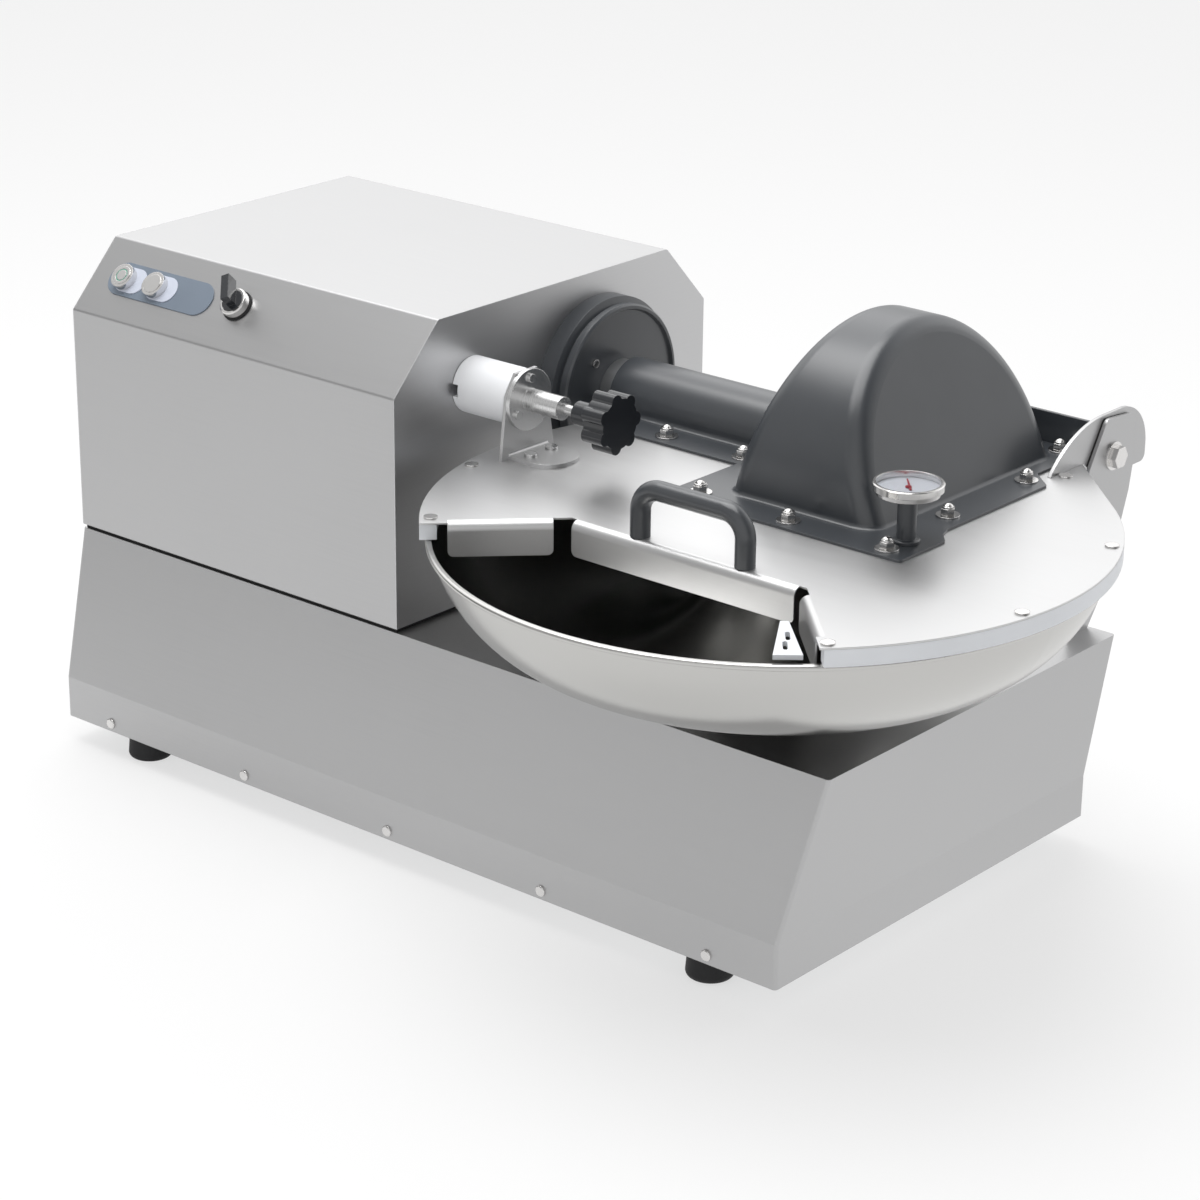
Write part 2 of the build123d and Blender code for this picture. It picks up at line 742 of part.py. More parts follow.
with BuildPart() as drive_belt:
    extrude(belt_loop(belt_gap + belt_t), amount=belt_w)
    extrude(belt_loop(belt_gap), amount=belt_w, mode=Mode.SUBTRACT)
finish(drive_belt, "drive_belt")

# ---------------------------------------------------------------------------
# Bowl drive and bowl
# ---------------------------------------------------------------------------
gear_w = 112.0
gear_h = 96.0
gear_top = deck_z - sheet
gear_motor_r = 55.0
gear_motor_len = 170.0

with BuildPart() as bowl_gearmotor:
    extrude(rect_xy(bowl_x - gear_w / 2, bowl_x + gear_w / 2, bowl_y - gear_w / 2,
                    bowl_y + gear_w / 2, gear_top - gear_h, 10.0), amount=gear_h)
    extrude(disc_x(bowl_x - gear_w / 2 - gear_motor_len, bowl_y, gear_top - gear_h / 2 - 10.0,
                   gear_motor_r - 14.0), amount=gear_motor_len + 4.0)
    extrude(disc_x(bowl_x - gear_w / 2 - gear_motor_len, bowl_y, gear_top - gear_h / 2 - 10.0,
                   gear_motor_r), amount=gear_motor_len - 30.0)
    extrude(disc_z(bowl_x, bowl_y, gear_top - gear_h + 10.0, spindle_r + fit), amount=gear_h,
            mode=Mode.SUBTRACT)
finish(bowl_gearmotor, "bowl_gearmotor")

hump_z = shaft_z - hump_drop
hub_top = hump_z - bowl_wall
hub_h = 14.0
column_top = hub_top - hub_h - 4.0

with BuildPart() as spindle_column:
    revolve(turn_z(bowl_x, bowl_y, [
        (spindle_r + fit, deck_z), (62.0, deck_z), (62.0, deck_z + 10.0),
        (column_r + 8.0, deck_z + 14.0), (column_r, deck_z + 30.0), (column_r, column_top),
        (spindle_r + fit, column_top)]), axis=axis_z(bowl_x, bowl_y))
finish(spindle_column, "spindle_column")

spindle_top = hump_z + 11.0
with BuildPart() as bowl_spindle:
    revolve(turn_z(bowl_x, bowl_y, [
        (0, gear_top - gear_h + 12.0), (spindle_r, gear_top - gear_h + 12.0),
        (spindle_r, column_top + 0.5), (30.0, column_top + 0.5), (38.0, hub_top - hub_h),
        (38.0, hub_top), (12.0, hub_top), (12.0, spindle_top), (0, spindle_top)]),
        axis=axis_z(bowl_x, bowl_y))
finish(bowl_spindle, "bowl_spindle")

def trough_edges(r, drop):
    """Where the trough's circle of radius r meets the rim's level, and the level drop below
    the knife shaft on the hump's side."""
    out = bowl_x + shaft_off + math.sqrt(r ** 2 - rim_drop ** 2)
    inn = bowl_x + shaft_off - math.sqrt(r ** 2 - drop ** 2)
    return out, inn


with BuildPart() as bowl:
    with BuildSketch(Plane.XZ.offset(-bowl_y)) as section:
        out0, inn0 = trough_edges(trough_r, hump_drop + bowl_wall)
        out1, inn1 = trough_edges(trough_r - bowl_wall, hump_drop)
        with BuildLine():
            ThreePointArc((out0, rim_z), (bowl_x + shaft_off, shaft_z - trough_r), (inn0, hub_top))
            Line((inn0, hub_top), (bowl_x + 12.0, hub_top))
            Line((bowl_x + 12.0, hub_top), (bowl_x + 12.0, hump_z))
            Line((bowl_x + 12.0, hump_z), (inn1, hump_z))
            ThreePointArc((inn1, hump_z), (bowl_x + shaft_off, shaft_z - trough_r + bowl_wall),
                          (out1, rim_z))
            Line((out1, rim_z), (out0, rim_z))
        make_face()
        with Locations((bowl_x + bowl_r - rim_bead_r, rim_z - rim_bead_r)):
            Circle(rim_bead_r)
    revolve(section.sketch, axis=axis_z(bowl_x, bowl_y))
finish(bowl, "bowl")

with BuildPart() as bowl_nut:
    extrude(disc_z(bowl_x, bowl_y, hump_z, 20.0, 12.0), amount=5.0)
    with BuildSketch(Plane.XY.offset(hump_z + 5.0)) as grip:
        with Locations((bowl_x, bowl_y)):
            RegularPolygon(18.0, 6)
    extrude(grip.sketch, amount=12.0)
    extrude(disc_z(bowl_x, bowl_y, hump_z, 12.0), amount=12.0, mode=Mode.SUBTRACT)
finish(bowl_nut, "bowl_nut")

# ---------------------------------------------------------------------------
# Lid
# ---------------------------------------------------------------------------
half = math.radians(opening_half)
chord_y = bowl_y - opening_chord
corner_dx = opening_chord * math.tan(half)
arm_x = (bowl_x + arm_out + arm_t / 2, bowl_x - arm_out - arm_t / 2)
shelf_x0 = wall_x + 44.0
shelf_x1 = bowl_x - 169.0
shelf_y0 = shaft_y + 34.0
shelf_y1 = shaft_y + 94.0
window_x0 = bowl_x + dome_x0 + cover_t
window_x1 = bowl_x + dome_x1 - cover_t
window_y0 = shaft_y + dome_shift - dome_r + cover_t
window_y1 = shaft_y + dome_shift + dome_r - cover_t - 1.0
slot_half = tube_r - cover_t + 1.0
lid_screw_pcr = lid_r - 11.0
lid_screw_angles = (-43.5, -8.8, 27.7, 63.5, 194.0, 222.3)
lid_screw_r = 3.0
tangent = lid_r / math.sqrt(2)


def opening_sketch(z, grow, reach):
    """The loading opening: a quarter sector cut short by a chord, grown by grow."""
    side = grow / math.cos(half)
    with BuildSketch(Plane.XY.offset(z)) as sk:
        with BuildLine():
            Polyline(
                (bowl_x - corner_dx - side + grow * math.tan(half), chord_y + grow),
                (bowl_x + corner_dx + side - grow * math.tan(half), chord_y + grow),
                (bowl_x + (reach + side) * math.tan(half), bowl_y - reach),
                (bowl_x - (reach + side) * math.tan(half), bowl_y - reach),
                close=True)
        make_face()
    return sk.sketch


def lid_outline(z):
    """The lid in plan: a disc, its straight back and the shelf under the tube cover."""
    with BuildSketch(Plane.XY.offset(z)) as sk:
        with Locations((bowl_x, bowl_y)):
            Circle(lid_r)
        with BuildLine():
            Polyline(
                (bowl_x - tangent, bowl_y + tangent), (arm_x[1], bowl_y + lid_rear),
                (arm_x[0], bowl_y + lid_rear), (bowl_x + tangent, bowl_y + tangent),
                (bowl_x, bowl_y), close=True)
        make_face()
        with Locations((bowl_x, bowl_y + (lid_rear + rear_panel_y + rear_panel_t) / 2)):
            Rectangle(2 * arm_out - 2 * fit, rear_panel_y + rear_panel_t - lid_rear + 2 * lid_t)
        with BuildLine():
            Polyline((shelf_x0, shelf_y0), (shelf_x0, shelf_y1),
                     (shelf_x1, shelf_y1), (shelf_x1, shelf_y0), close=True)
        make_face()
    return sk.sketch


def flap_profile(plane):
    """A bent-down edge: round roll above a straight leg, and a short flat into the plate."""
    low = lid_z - flap_drop
    mid = top_z - flap_roll_r
    turn = math.sqrt(0.5)
    inner = flap_roll_r - lid_t
    with BuildSketch(plane) as sk:
        with BuildLine():
            Polyline((flap_roll_r + 3.0, lid_z), (flap_roll_r + 3.0, top_z), (flap_roll_r, top_z))
            ThreePointArc((flap_roll_r, top_z),
                          (flap_roll_r - flap_roll_r * turn, mid + flap_roll_r * turn), (0, mid))
            Polyline((0, mid), (0, low), (lid_t, low), (lid_t, mid))
            ThreePointArc((lid_t, mid), (flap_roll_r - inner * turn, mid + inner * turn),
                          (flap_roll_r, lid_z))
            Line((flap_roll_r, lid_z), (flap_roll_r + 3.0, lid_z))
        make_face()
    return sk.sketch


flap_in = opening_chord / math.cos(half) + flap_start
flap_out = lid_r - flap_end_gap
flap_len = flap_out - flap_in


def bent_edge(plane, length):
    """A bent-down edge of the given length, its lower corners rounded."""
    with BuildPart(mode=Mode.PRIVATE) as form:
        extrude(flap_profile(plane), amount=length)
        low = form.edges().group_by(Axis.Z)[0]
        fillet(low.filter_by(lambda e: e.length < 2 * lid_t), flap_tip_r)
    return form.part


def side_flap(sign):
    """The bent edge along one radial side of the opening."""
    ax = sign * math.sin(half)
    ay = -math.cos(half)
    origin = (bowl_x + flap_in * ax, bowl_y + flap_in * ay, 0)
    return bent_edge(Plane(origin=origin, x_dir=(sign * math.cos(half), math.sin(half), 0),
                           z_dir=(sign * ax, sign * ay, 0)), sign * flap_len)


flange_front = 44.32
flange_left = 43.5
flange_side = 45.0
flange_corner = 62.0
flange_rear = 18.0
flange_x0 = bowl_x + dome_x0 - flange_left
flange_x1 = bowl_x + dome_x1 + flange_corner
flange_y0 = shaft_y + dome_shift - dome_r - flange_front
flange_y1 = bowl_y + rear_panel_y - 0.5
tube_y0 = shaft_y - tube_flange
bolt_in = 18.0
cover_bolts = [
    (flange_x0 + bolt_in + 10.0, flange_y0 + bolt_in + 7.0), (bowl_x + 24.0, flange_y0 + bolt_in),
    (flange_x1 - bolt_in - 10.0, flange_y0 + bolt_in),
    (bowl_x + dome_x1 + flange_side - 22.0, flange_y0 + 133.0),
    (bowl_x + dome_x1 + flange_side - 23.0, flange_y1 - 116.5),
    (bowl_x + dome_x1 + flange_rear - 23.0, flange_y1 - 14.5)]
tube_bolts = [(bowl_x - 225.0, tube_y0 + 19.0), (bowl_x - 125.0, tube_y0 + 19.0),
              (bowl_x - 322.0, shaft_y + 82.0), (bowl_x - 225.0, shaft_y + 82.0)]
nut_spots = cover_bolts + tube_bolts

with BuildPart() as lid_plate:
    extrude(lid_outline(lid_z), amount=lid_t)
    extrude(opening_sketch(lid_z, 0, 2 * lid_r), amount=lid_t, mode=Mode.SUBTRACT)
    with BuildSketch(Plane.XY.offset(lid_z)) as grown:
        add(opening_sketch(0, flap_roll_r, 2 * lid_r))
        with Locations((bowl_x, bowl_y)):
            Circle(flap_out, mode=Mode.INTERSECT)
    extrude(grown.sketch, amount=lid_t, mode=Mode.SUBTRACT)
    extrude(rect_xy(window_x0, window_x1, window_y0, window_y1, lid_z, 8.0), amount=lid_t,
            mode=Mode.SUBTRACT)
    extrude(rect_xy(shelf_x0 - 1.0, window_x0 + 20.0, shaft_y - slot_half, shaft_y + slot_half,
                    lid_z), amount=lid_t, mode=Mode.SUBTRACT)
    add(side_flap(-1))
    add(side_flap(1))
    add(bent_edge(Plane(origin=(bowl_x - corner_dx + relief_w, chord_y, 0), x_dir=(0, 1, 0),
                        z_dir=(1, 0, 0)), 2 * corner_dx - 2 * relief_w))
    for angle in lid_screw_angles:
        a = math.radians(angle)
        extrude(disc_z(bowl_x + lid_screw_pcr * math.cos(a), bowl_y + lid_screw_pcr * math.sin(a),
                       lid_z, lid_screw_r + fit), amount=lid_t, mode=Mode.SUBTRACT)
    for nx, ny in nut_spots:
        extrude(disc_z(nx, ny, lid_z, stud_r), amount=lid_t + cover_flange_t + washer_t + nut_h)
finish(lid_plate, "lid_plate")

with BuildPart() as lid_ring:
    extrude(disc_z(bowl_x, bowl_y, ring_z, lid_r, lid_r - ring_w), amount=ring_h)
    extrude(opening_sketch(ring_z, ring_start_gap, 2 * lid_r), amount=ring_h, mode=Mode.SUBTRACT)
    extrude(rect_xy(window_x0 - 4.0, window_x1 + 4.0, shaft_y, bowl_y + 2 * lid_r, ring_z),
            amount=ring_h, mode=Mode.SUBTRACT)
    extrude(rect_xy(wall_x, window_x0, shaft_y - slot_half, shaft_y + slot_half, ring_z),
            amount=ring_h, mode=Mode.SUBTRACT)
    for angle in lid_screw_angles:
        a = math.radians(angle)
        extrude(disc_z(bowl_x + lid_screw_pcr * math.cos(a), bowl_y + lid_screw_pcr * math.sin(a),
                       ring_z, lid_screw_r + fit), amount=ring_h, mode=Mode.SUBTRACT)
finish(lid_ring, "lid_ring")

with BuildPart() as lid_screws:
    for angle in lid_screw_angles:
        a = math.radians(angle)
        cx = bowl_x + lid_screw_pcr * math.cos(a)
        cy = bowl_y + lid_screw_pcr * math.sin(a)
        extrude(disc_z(cx, cy, top_z, 7.0), amount=1.6)
        extrude(disc_z(cx, cy, top_z, lid_screw_r), amount=-lid_t - 12.0)
finish(lid_screws, "lid_screws")

handle_r = 10.0
handle_pitch = 126.0
handle_x0 = bowl_x - 60.0
handle_y = chord_y + 14.0
handle_z = top_z + 50.0
handle_bend = 24.0
with BuildPart() as lid_handle:
    with BuildLine(Plane.XZ.offset(-handle_y)) as bar:
        FilletPolyline((handle_x0, top_z), (handle_x0, handle_z),
                       (handle_x0 + handle_pitch, handle_z), (handle_x0 + handle_pitch, top_z),
                       radius=handle_bend)
    with BuildSketch(Plane.XY.offset(top_z)) as bar_end:
        with Locations((handle_x0, handle_y)):
            Circle(handle_r)
    sweep(bar_end.sketch, path=bar.line)
finish(lid_handle, "lid_handle")

scraper_angle = math.radians(-49.5)
scraper_len = 62.0
scraper_hold = 1.0
scraper_r0 = lid_r - ring_w + scraper_hold - scraper_len
scraper_drop = 8.0
scraper_t = 5.0
scraper_slot = 15.0
scraper_slot_w = 4.4
scraper_top = top_z - 5.0
radial = Vector(math.cos(scraper_angle), math.sin(scraper_angle), 0)
across = Vector(-math.sin(scraper_angle), math.cos(scraper_angle), 0)
scraper_origin = Vector(bowl_x, bowl_y, scraper_top) + radial * scraper_r0
scraper_dir = radial * scraper_len - Vector(0, 0, scraper_drop)
with BuildPart() as bowl_scraper:
    with BuildSketch(Plane(origin=scraper_origin, x_dir=scraper_dir,
                           z_dir=scraper_dir.cross(across))) as tongue:
        with BuildLine():
            Polyline((0, -4.0), (scraper_len, -13.5), (scraper_len, 13.5), (0, 4.0), close=True)
        make_face()
        with Locations((0.44 * scraper_len, 1.6), (0.72 * scraper_len, -1.6)):
            SlotOverall(scraper_slot, scraper_slot_w, mode=Mode.SUBTRACT)
    extrude(tongue.sketch, amount=-scraper_t)
finish(bowl_scraper, "bowl_scraper")

# ---------------------------------------------------------------------------
# Knife cover: a moulded dome over the knives and a half tube over the shaft
# ---------------------------------------------------------------------------
dome_y = shaft_y + dome_shift
flange_z = top_z
flange_top = top_z + cover_flange_t


def dome_block(inset, z0):
    """The dome's solid form, moved in by inset, standing on z0."""
    r = dome_r - inset
    zc = shaft_z - dome_drop
    with BuildPart(mode=Mode.PRIVATE) as form:
        with BuildSketch(Plane.YZ.offset(bowl_x + dome_x0 - 20.0)) as arch:
            with Locations((dome_y, zc)):
                Circle(r)
            with Locations((dome_y, z0 - r)):
                Rectangle(4 * r, 2 * r, mode=Mode.SUBTRACT)
            with Locations((dome_y, (z0 + zc) / 2)):
                Rectangle(2 * r, zc - z0)
        extrude(arch.sketch, amount=dome_x1 - dome_x0 + 40.0)
        with BuildSketch(Plane.XZ.offset(-dome_y - 2 * r)) as side:
            with BuildLine():
                Polyline((bowl_x + dome_x0 + inset, z0),
                         (bowl_x + dome_top_x0 + inset, zc + r),
                         (bowl_x + dome_top_x1 - inset, zc + r),
                         (bowl_x + dome_x1 - inset, z0), close=True)
            make_face()
        extrude(side.sketch, amount=4 * r, mode=Mode.INTERSECT)
        crest = form.edges().filter_by(lambda e: e.geom_type != GeomType.LINE)
        fillet(crest, dome_crest_r - inset)
    return form.part


def tube_block(inset, z0, x0):
    """The half tube's solid form, moved in by inset, standing on z0."""
    r = tube_r - inset
    zc = shaft_z - tube_drop
    with BuildPart(mode=Mode.PRIVATE) as form:
        with BuildSketch(Plane.YZ.offset(x0)) as arch:
            with Locations((shaft_y, zc)):
                Circle(r)
            with Locations((shaft_y, z0 - 2 * r)):
                Rectangle(4 * r, 4 * r, mode=Mode.SUBTRACT)
            with Locations((shaft_y, (z0 + zc) / 2)):
                Rectangle(2 * r, zc - z0)
        extrude(arch.sketch, amount=bowl_x + dome_x0 + 30.0 - x0)
    return form.part


def on_root(edge):
    """Whether a level edge is where the dome or the half tube rises from the flange."""
    spot = edge.center()
    dx = spot.X - bowl_x
    in_dome = dome_x0 - fit < dx < dome_x1 + fit and abs(spot.Y - dome_y) < dome_r + fit
    in_tube = wall_x + tube_end + fit < spot.X <= bowl_x and abs(spot.Y - shaft_y) < tube_r + fit
    return in_dome or in_tube


side_x = bowl_x + dome_x1 + flange_side
rear_x = bowl_x + dome_x1 + flange_rear
with BuildPart() as knife_cover:
    add(dome_block(0, flange_z))
    add(tube_block(0, flange_z, wall_x + tube_end))
    with BuildSketch(Plane.XY.offset(flange_z)) as flange:
        with BuildLine():
            Polyline(
                (flange_x0, flange_y0), (flange_x1, flange_y0),
                (flange_x1, flange_y0 + 73.0), (flange_x1 - 12.0, flange_y0 + 87.0),
                (side_x, flange_y0 + 101.0), (side_x, flange_y1 - 114.5),
                (side_x - 14.0, flange_y1 - 102.5), (rear_x, flange_y1 - 90.5),
                (rear_x, flange_y1), (flange_x0, flange_y1),
                close=True)
        make_face()
        fillet(flange.vertices(), 5.0)
    extrude(flange.sketch, amount=cover_flange_t)
    extrude(rect_xy(bowl_x - 300.0, bowl_x - 60.0, tube_y0, shaft_y, flange_z),
            amount=cover_flange_t)
    extrude(rect_xy(wall_x + tube_end, bowl_x - 60.0, shaft_y, shelf_y1, flange_z),
            amount=cover_flange_t)
    root = knife_cover.edges().filter_by(lambda e: abs(e.center().Z - flange_top) < fit)
    fillet(root.filter_by(lambda e: on_root(e)), cover_fillet_r)
    add(dome_block(cover_t, flange_z - 1.0), mode=Mode.SUBTRACT)
    add(tube_block(cover_t, flange_z - 1.0, wall_x + tube_end - 1.0), mode=Mode.SUBTRACT)
    for nx, ny in nut_spots:
        extrude(disc_z(nx, ny, flange_z, stud_r + fit), amount=cover_flange_t, mode=Mode.SUBTRACT)
finish(knife_cover, "knife_cover")

with BuildPart() as cover_washers:
    for nx, ny in nut_spots:
        extrude(disc_z(nx, ny, flange_top, washer_r, stud_r + fit), amount=washer_t)
finish(cover_washers, "cover_washers")

nut_z = flange_top + washer_t
nut_point_r = nut_af / math.sqrt(3)
nut_cap_r = 6.1
nut_neck = 1.9
with BuildPart() as cover_nuts:
    for nx, ny in nut_spots:
        with BuildSketch(Plane.XY.offset(nut_z)) as hexagon:
            with Locations((nx, ny)):
                RegularPolygon(nut_point_r, 6)
        extrude(hexagon.sketch, amount=nut_h)
        with Locations((nx, ny, nut_z + nut_h)):
            Cylinder(nut_cap_r, nut_neck, align=(Align.CENTER, Align.CENTER, Align.MIN))
        with Locations((nx, ny, nut_z + nut_h + nut_neck)):
            Sphere(nut_cap_r, arc_size1=0)
        extrude(disc_z(nx, ny, nut_z, stud_r + fit), amount=nut_h + 1.0, mode=Mode.SUBTRACT)
finish(cover_nuts, "cover_nuts")

# ---------------------------------------------------------------------------
# Thermometer
# ---------------------------------------------------------------------------
dial_x = flange_x1 - 26.0
dial_y = flange_y0 + 46.0
stem_r = 9.5
stem_foot_r = 13.5
case_z = top_z + 51.0
case_r = 34.5
case_h = 12.0
probe_r = 3.0
with BuildPart() as thermometer_stem:
    revolve(turn_z(dial_x, dial_y, [
        (probe_r + fit, flange_top), (stem_foot_r, flange_top), (stem_foot_r, flange_top + 3.0),
        (stem_foot_r - 1.0, flange_top + 4.0), (stem_r, flange_top + 4.5), (stem_r, case_z),
        (probe_r + fit, case_z)]), axis=axis_z(dial_x, dial_y))
finish(thermometer_stem, "thermometer_stem")

with BuildPart() as thermometer_case:
    revolve(turn_z(dial_x, dial_y, [
        (0, case_z), (case_r - 3.5, case_z), (case_r - 2.5, case_z + 4.0), (case_r, case_z + 5.0),
        (case_r, case_z + case_h - 1.0), (case_r - 1.0, case_z + case_h),
        (case_r - 3.5, case_z + case_h), (case_r - 3.5, case_z + 4.0), (0, case_z + 4.0)]),
        axis=axis_z(dial_x, dial_y))
finish(thermometer_case, "thermometer_case")

with BuildPart() as thermometer_dial:
    extrude(disc_z(dial_x, dial_y, case_z + 4.0, case_r - 3.5, 1.2 + fit), amount=1.0)
finish(thermometer_dial, "thermometer_dial")

with BuildPart() as thermometer_needle:
    extrude(disc_z(dial_x, dial_y, case_z + 4.2, 1.2), amount=3.0)
    extrude(disc_z(dial_x, dial_y, case_z + 5.6, 3.0), amount=1.2)
    with BuildSketch(Plane.XY.offset(case_z + 5.6)) as hand:
        with BuildLine():
            Polyline((dial_x + 6.0, dial_y - 7.0), (dial_x + 7.5, dial_y - 5.0),
                     (dial_x - 14.0, dial_y + 18.6), (dial_x - 15.0, dial_y + 17.8), close=True)
        make_face()
    extrude(hand.sketch, amount=0.8)
finish(thermometer_needle, "thermometer_needle")

with BuildPart() as thermometer_lens:
    extrude(disc_z(dial_x, dial_y, case_z + case_h - 3.0, case_r - 3.5), amount=1.5)
finish(thermometer_lens, "thermometer_lens")

# ---------------------------------------------------------------------------
# Lid lock on the lid's left edge
# ---------------------------------------------------------------------------
lock_y = bowl_y - 14.0
lock_z = top_z + 58.0
drum_end_x = wall_x + 71.0
lock_drum_r = 29.8
lock_gap = 0.5
rod_r = 5.4
bracket_t = 4.0
bracket_bend_r = 3.0
bracket_foot = 61.0
bracket_foot_w = 60.0
drum_slot_w = 13.0
drum_slot_depth = 7.0
with BuildPart() as interlock_drum:
    extrude(disc_x(wall_x + lock_gap, lock_y, lock_z, lock_drum_r, rod_r + 4.0),
            amount=drum_end_x - wall_x - lock_gap)
    with BuildSketch(Plane.YZ.offset(wall_x + lock_gap)) as notch:
        with Locations((lock_y, lock_z)):
            Rectangle(2 * lock_drum_r + 2 * fit, drum_slot_w)
    extrude(notch.sketch, amount=drum_slot_depth, mode=Mode.SUBTRACT)
    fillet(interlock_drum.edges().filter_by(GeomType.CIRCLE).group_by(Axis.X)[-1]
           .sort_by(SortBy.LENGTH)[-1:], 1.5)
finish(interlock_drum, "interlock_drum")

with BuildPart() as interlock_bracket:
    extrude(poly_yz([
        (lock_y - 38.0, top_z), (lock_y + 42.0, top_z), (lock_y + 30.0, lock_z + 8.0),
        (lock_y + 16.0, lock_z + 30.0), (lock_y - 16.0, lock_z + 30.0),
        (lock_y - 30.0, lock_z + 8.0)], drum_end_x), amount=bracket_t)
    with BuildSketch(Plane.XY.offset(top_z)) as foot:
        with Locations((drum_end_x + bracket_foot / 2, lock_y + 2.0)):
            Rectangle(bracket_foot, bracket_foot_w)
    extrude(foot.sketch, amount=bracket_t)
    fillet(interlock_bracket.edges().filter_by(Axis.Z).sort_by(Axis.X)[-2:],
           bracket_foot_w / 2 - bracket_t)
    bend = interlock_bracket.edges().filter_by(Axis.Y)
    fillet(bend.filter_by(lambda e: abs(e.center().X - drum_end_x - bracket_t) < fit
                          and abs(e.center().Z - top_z - bracket_t) < fit), bracket_bend_r)
    extrude(disc_x(drum_end_x, lock_y, lock_z, rod_r + 4.0), amount=bracket_t, mode=Mode.SUBTRACT)
finish(interlock_bracket, "interlock_bracket")

guide_x0 = drum_end_x + bracket_t
with BuildPart() as interlock_flange:
    extrude(disc_x(guide_x0, lock_y, lock_z, 32.0, rod_r + fit), amount=5.0)
    extrude(disc_x(guide_x0 + 5.0, lock_y, lock_z, 12.0, rod_r + fit), amount=44.0)
finish(interlock_flange, "interlock_flange")

with BuildPart() as interlock_screws:
    for i in range(3):
        a = math.radians(90 + 120 * i)
        extrude(disc_x(guide_x0 + 5.0, lock_y + 23.0 * math.cos(a), lock_z + 23.0 * math.sin(a),
                       4.5), amount=3.0)
    for dy in (-12.0, 20.0):
        extrude(disc_z(drum_end_x + 20.0, lock_y + dy, top_z + bracket_t, 6.5), amount=2.4)
finish(interlock_screws, "interlock_screws")

rod_x0 = wall_x + 22.0
knob_x0 = guide_x0 + 69.0
with BuildPart() as lock_rod:
    extrude(disc_x(rod_x0, lock_y, lock_z, rod_r), amount=knob_x0 + 30.0 - rod_x0)
finish(lock_rod, "lock_rod")

with BuildPart() as lock_knob:
    with BuildSketch(Plane.YZ.offset(knob_x0)) as stem:
        with Locations((lock_y, lock_z)):
            Circle(12.5)
    extrude(stem.sketch, amount=28.0)
    with BuildSketch(Plane.YZ.offset(knob_x0 + 28.0)) as lobes:
        with Locations((lock_y, lock_z)):
            Circle(26.0)
            with PolarLocations(24.0, 7):
                Circle(7.6)
    extrude(lobes.sketch, amount=26.0)
    extrude(disc_x(knob_x0, lock_y, lock_z, rod_r), amount=30.0, mode=Mode.SUBTRACT)
finish(lock_knob, "lock_knob")

# ---------------------------------------------------------------------------
# Hinge
# ---------------------------------------------------------------------------
arm_gap = 1.0
arm_front = 108.0
arm_crest = 16.0
arm_top = top_z + 43.0
arm_low = top_z - 25.0
arm_r = 50.0
arm_end_r = 8.0
ear_corner_r = 8.0
hinge_bolt_r = 8.0
hinge_washer_r = 15.0
hinge_washer_t = 2.5
hinge_head_r = 12.0
hinge_head_h = 8.0


def mirror_x(x, t):
    """The start of a plate of thickness t on each side, at x from the bowl's axis."""
    return (bowl_x + x, bowl_x - x - t)


with BuildPart() as hinge_arms:
    for x0 in mirror_x(arm_out, arm_t):
        with BuildSketch(Plane.YZ.offset(x0)) as arm:
            with BuildLine():
                ThreePointArc((hinge_y - arm_front, top_z), (hinge_y - 0.62 * arm_front, arm_top - 12.0),
                              (hinge_y - arm_crest, arm_top))
                Polyline((hinge_y - arm_crest, arm_top), (hinge_y + arm_back, arm_top),
                         (hinge_y + arm_back, arm_low), (hinge_y - arm_crest, arm_low),
                         (bowl_y + lid_rear, top_z), (hinge_y - arm_front, top_z))
            make_face()
            corner = arm.vertices().sort_by(Axis.X)[-2:].sort_by(Axis.Y)
            fillet(corner[-1], arm_r)
            fillet(arm.vertices().filter_by(lambda v: abs(v.Y - arm_low) < fit).sort_by(Axis.X)[-1],
                   arm_end_r)
        extrude(arm.sketch, amount=arm_t)
        extrude(disc_x(x0, hinge_y, hinge_z, hinge_bolt_r + fit), amount=arm_t,
                mode=Mode.SUBTRACT)
finish(hinge_arms, "hinge_arms")

with BuildPart() as hinge_brackets:
    for x0 in mirror_x(arm_out + arm_t + arm_gap, arm_t):
        with BuildSketch(Plane.YZ.offset(x0)) as ear:
            with BuildLine():
                Polyline((hinge_y - 60.0, deck_z), (hinge_y - 28.0, deck_z),
                         (hinge_y - 2.0, deck_z + 34.0), (hinge_y + 24.0, deck_z + 103.0),
                         (hinge_y + 35.0, deck_z + 135.0), (hinge_y + 40.0, deck_z + 162.0),
                         (hinge_y + 40.0, hinge_z + 30.0), (hinge_y + 32.0, hinge_z + 38.0),
                         (hinge_y - 14.0, hinge_z + 42.0), (hinge_y - 43.0, hinge_z - 6.0),
                         close=True)
            make_face()
            fillet(ear.vertices().filter_by(lambda v: v.Y > hinge_z - 10.0), ear_corner_r)
        extrude(ear.sketch, amount=arm_t)
        inward = x0 if x0 < bowl_x else x0 - 40.0 + arm_t
        extrude(rect_xy(inward, inward + 40.0, hinge_y - 88.0, hinge_y - 28.0, deck_z),
                amount=arm_t)
        extrude(disc_x(x0, hinge_y, hinge_z, hinge_bolt_r), amount=arm_t, mode=Mode.SUBTRACT)
finish(hinge_brackets, "hinge_brackets")

with BuildPart() as hinge_bolts:
    for sign in (1, -1):
        outer = bowl_x + sign * (arm_out + 2 * arm_t + arm_gap)
        extrude(disc_x(outer, hinge_y, hinge_z, hinge_bolt_r), amount=-sign * 16.0)
        extrude(disc_x(outer, hinge_y, hinge_z, hinge_washer_r), amount=sign * hinge_washer_t)
        with BuildSketch(Plane.YZ.offset(outer + sign * hinge_washer_t)) as head:
            with Locations((hinge_y, hinge_z)):
                RegularPolygon(hinge_head_r, 6)
        extrude(head.sketch, amount=sign * hinge_head_h)
finish(hinge_bolts, "hinge_bolts")

